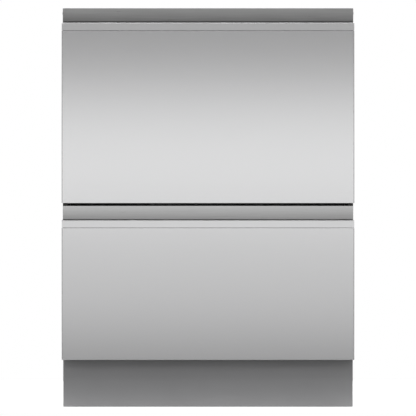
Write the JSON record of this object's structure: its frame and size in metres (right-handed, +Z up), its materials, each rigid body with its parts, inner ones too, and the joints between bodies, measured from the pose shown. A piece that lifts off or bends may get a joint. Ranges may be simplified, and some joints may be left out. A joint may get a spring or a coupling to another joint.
{
  "type": "double drawer dishwasher",
  "caption": "Built-in dishwasher whose wash tubs pull out as stacked drawers, each with a steel door, finger recess, lid, racks, spray arm, pump and telescopic runners.",
  "frame": {"origin": "on the floor under the middle of the machine, with the feet screwed right in", "axes": "+Z up, the doors face -Y, +X to the right seen from the front"},
  "size_m": [0.599, 0.573, 0.82],
  "materials": {
    "door_steel": "satin",
    "kick_steel": "satin",
    "galvanised_sheet": "satin",
    "runner_steel": "gloss",
    "filter_steel": "satin",
    "black_steel": "matte",
    "coated_wire": "satin",
    "tub_plastic": "satin",
    "lid_plastic": "satin",
    "liner_plastic": "matte",
    "control_gloss": "gloss",
    "button_plastic": "satin",
    "arm_plastic": "satin",
    "pump_plastic": "satin",
    "actuator_plastic": "satin",
    "seal_rubber": "matte",
    "foot_plastic": "matte",
    "base_plastic": "matte",
    "service_plastic": "matte"
  },
  "bodies": {
    "chassis": {"chassis_left_side": "galvanised_sheet", "chassis_right_side": "galvanised_sheet", "chassis_top": "galvanised_sheet", "chassis_back": "galvanised_sheet", "base_pan": "base_plastic", "mid_rail": "black_steel", "service_panel": "service_plastic", "kick_plate": "kick_steel", "upper_lid_actuator_left": "actuator_plastic", "upper_lid_actuator_right": "actuator_plastic", "lower_lid_actuator_left": "actuator_plastic", "lower_lid_actuator_right": "actuator_plastic", "upper_runner_outer_left": "runner_steel", "upper_runner_outer_right": "runner_steel", "lower_runner_outer_left": "runner_steel", "lower_runner_outer_right": "runner_steel"},
    "upper_drawer": {"upper_front_panel": "door_steel", "upper_handle": "door_steel", "upper_door_liner": "liner_plastic", "upper_control_strip": "control_gloss", "upper_tub": "tub_plastic", "upper_filter_plate": "filter_steel", "upper_wash_pump": "pump_plastic", "upper_dish_basket": "coated_wire", "upper_cutlery_basket": "arm_plastic", "upper_runner_inner_left": "runner_steel", "upper_runner_inner_right": "runner_steel"},
    "lower_drawer": {"lower_front_panel": "door_steel", "lower_handle": "door_steel", "lower_door_liner": "liner_plastic", "lower_control_strip": "control_gloss", "lower_tub": "tub_plastic", "lower_filter_plate": "filter_steel", "lower_wash_pump": "pump_plastic", "lower_dish_basket": "coated_wire", "lower_cutlery_basket": "arm_plastic", "lower_runner_inner_left": "runner_steel", "lower_runner_inner_right": "runner_steel"},
    "upper_runner_left": {"upper_runner_middle_left": "runner_steel"},
    "upper_runner_right": {"upper_runner_middle_right": "runner_steel"},
    "lower_runner_left": {"lower_runner_middle_left": "runner_steel"},
    "lower_runner_right": {"lower_runner_middle_right": "runner_steel"},
    "upper_lid": {"upper_lid": "lid_plastic", "upper_lid_seal": "seal_rubber"},
    "lower_lid": {"lower_lid": "lid_plastic", "lower_lid_seal": "seal_rubber"},
    "upper_spray_arm": {"upper_spray_arm": "arm_plastic"},
    "lower_spray_arm": {"lower_spray_arm": "arm_plastic"},
    "upper_dispenser_flap": {"upper_dispenser_flap": "lid_plastic"},
    "lower_dispenser_flap": {"lower_dispenser_flap": "lid_plastic"},
    "upper_cup_rack": {"upper_cup_rack": "coated_wire"},
    "lower_cup_rack": {"lower_cup_rack": "coated_wire"},
    "upper_power_button": {"upper_power_button": "button_plastic"},
    "upper_start_button": {"upper_start_button": "button_plastic"},
    "lower_power_button": {"lower_power_button": "button_plastic"},
    "lower_start_button": {"lower_start_button": "button_plastic"},
    "foot_front_left": {"foot_front_left": "foot_plastic"},
    "foot_front_right": {"foot_front_right": "foot_plastic"},
    "foot_rear_left": {"foot_rear_left": "foot_plastic"},
    "foot_rear_right": {"foot_rear_right": "foot_plastic"}
  },
  "joints": [
    {"name": "upper_drawer_slide", "type": "slide", "parent": "chassis", "child": "upper_drawer", "axis": [0, -1, 0], "range_m": [0, 0.5]},
    {"name": "lower_drawer_slide", "type": "slide", "parent": "chassis", "child": "lower_drawer", "axis": [0, -1, 0], "range_m": [0, 0.5]},
    {"name": "upper_runner_left_slide", "type": "slide", "parent": "chassis", "child": "upper_runner_left", "axis": [0, -1, 0], "range_m": [0, 0.25]},
    {"name": "upper_runner_right_slide", "type": "slide", "parent": "chassis", "child": "upper_runner_right", "axis": [0, -1, 0], "range_m": [0, 0.25]},
    {"name": "lower_runner_left_slide", "type": "slide", "parent": "chassis", "child": "lower_runner_left", "axis": [0, -1, 0], "range_m": [0, 0.25]},
    {"name": "lower_runner_right_slide", "type": "slide", "parent": "chassis", "child": "lower_runner_right", "axis": [0, -1, 0], "range_m": [0, 0.25]},
    {"name": "upper_lid_lift", "type": "slide", "parent": "chassis", "child": "upper_lid", "axis": [0, 0, 1], "range_m": [-0.0095, 0]},
    {"name": "lower_lid_lift", "type": "slide", "parent": "chassis", "child": "lower_lid", "axis": [0, 0, 1], "range_m": [-0.0095, 0]},
    {"name": "upper_spray_arm_spin", "type": "hinge", "parent": "upper_drawer", "child": "upper_spray_arm", "pos_m": [0, 0.013, 0.534], "axis": [0, 0, 1], "continuous": true},
    {"name": "lower_spray_arm_spin", "type": "hinge", "parent": "lower_drawer", "child": "lower_spray_arm", "pos_m": [0, 0.013, 0.168], "axis": [0, 0, 1], "continuous": true},
    {"name": "upper_flap_hinge", "type": "hinge", "parent": "upper_drawer", "child": "upper_dispenser_flap", "pos_m": [-0.03, -0.2205, 0.643], "axis": [-1, 0, 0], "range_deg": [0, 100]},
    {"name": "lower_flap_hinge", "type": "hinge", "parent": "lower_drawer", "child": "lower_dispenser_flap", "pos_m": [-0.03, -0.2205, 0.277], "axis": [-1, 0, 0], "range_deg": [0, 100]},
    {"name": "upper_cup_rack_hinge", "type": "hinge", "parent": "upper_drawer", "child": "upper_cup_rack", "pos_m": [-0.227, 0.034, 0.68], "axis": [0, -1, 0], "range_deg": [0, 85]},
    {"name": "lower_cup_rack_hinge", "type": "hinge", "parent": "lower_drawer", "child": "lower_cup_rack", "pos_m": [-0.227, 0.034, 0.314], "axis": [0, -1, 0], "range_deg": [0, 85]},
    {"name": "upper_power_press", "type": "slide", "parent": "upper_drawer", "child": "upper_power_button", "axis": [0, 0, -1], "range_m": [0, 0.0012], "stiffness_N_per_m": 400, "springref_m": -0.001},
    {"name": "upper_start_press", "type": "slide", "parent": "upper_drawer", "child": "upper_start_button", "axis": [0, 0, -1], "range_m": [0, 0.0012], "stiffness_N_per_m": 400, "springref_m": -0.001},
    {"name": "lower_power_press", "type": "slide", "parent": "lower_drawer", "child": "lower_power_button", "axis": [0, 0, -1], "range_m": [0, 0.0012], "stiffness_N_per_m": 400, "springref_m": -0.001},
    {"name": "lower_start_press", "type": "slide", "parent": "lower_drawer", "child": "lower_start_button", "axis": [0, 0, -1], "range_m": [0, 0.0012], "stiffness_N_per_m": 400, "springref_m": -0.001},
    {"name": "foot_front_left_screw", "type": "slide", "parent": "chassis", "child": "foot_front_left", "axis": [0, 0, 1], "range_m": [-0.06, 0]},
    {"name": "foot_front_right_screw", "type": "slide", "parent": "chassis", "child": "foot_front_right", "axis": [0, 0, 1], "range_m": [-0.06, 0]},
    {"name": "foot_rear_left_screw", "type": "slide", "parent": "chassis", "child": "foot_rear_left", "axis": [0, 0, 1], "range_m": [-0.06, 0]},
    {"name": "foot_rear_right_screw", "type": "slide", "parent": "chassis", "child": "foot_rear_right", "axis": [0, 0, 1], "range_m": [-0.06, 0]}
  ],
  "couplings": [
    {"joint": "upper_runner_left_slide", "follows": "upper_drawer_slide", "ratio": 0.5},
    {"joint": "upper_runner_right_slide", "follows": "upper_drawer_slide", "ratio": 0.5},
    {"joint": "lower_runner_left_slide", "follows": "lower_drawer_slide", "ratio": 0.5},
    {"joint": "lower_runner_right_slide", "follows": "lower_drawer_slide", "ratio": 0.5}
  ]
}
